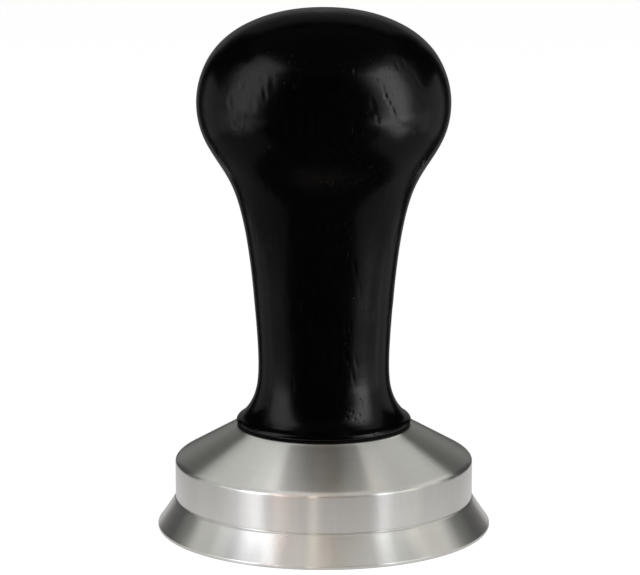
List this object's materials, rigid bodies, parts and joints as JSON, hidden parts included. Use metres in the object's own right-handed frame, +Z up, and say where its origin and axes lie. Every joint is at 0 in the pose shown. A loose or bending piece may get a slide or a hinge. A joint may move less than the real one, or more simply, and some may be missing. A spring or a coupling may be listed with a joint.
{
  "type": "espresso tamper",
  "caption": "Espresso tamper: a black lacquered wooden knob handle screwed onto a stepped and flared stainless steel base with a flat tamping face.",
  "frame": {"origin": "centre of the flat tamping face, which the tamper stands on", "axes": "+Z up along the turning axis, from the tamping face to the top of the knob; +X and +Y are any two directions across it"},
  "size_m": [0.058, 0.058, 0.0904],
  "materials": {
    "turned_steel": "fine-turned and satin polished stainless steel, with brighter edge breaks",
    "seat_rubber": "matt black rubber",
    "lacquered_wood": "turned hardwood under satin-gloss black lacquer, with open pores showing through",
    "insert_brass": "machined brass",
    "stud_steel": "zinc-plated steel thread"
  },
  "bodies": {
    "base": {"base": "turned_steel"},
    "washer": {"seat_washer": "seat_rubber"},
    "handle": {"handle": "lacquered_wood", "threaded_insert": "insert_brass", "stud": "stud_steel"}
  },
  "joints": [
    {"name": "handle_unscrew", "type": "hinge", "parent": "base", "child": "washer", "pos_m": [0, 0, 0.01826], "axis": [0, 0, 1], "range_deg": [0, 2880]},
    {"name": "handle_rise", "type": "slide", "parent": "washer", "child": "handle", "axis": [0, 0, 1], "range_m": [0, 0.01]}
  ],
  "couplings": [
    {"joint": "handle_rise", "follows": "handle_unscrew", "m_per_rad": 0.00019894}
  ]
}
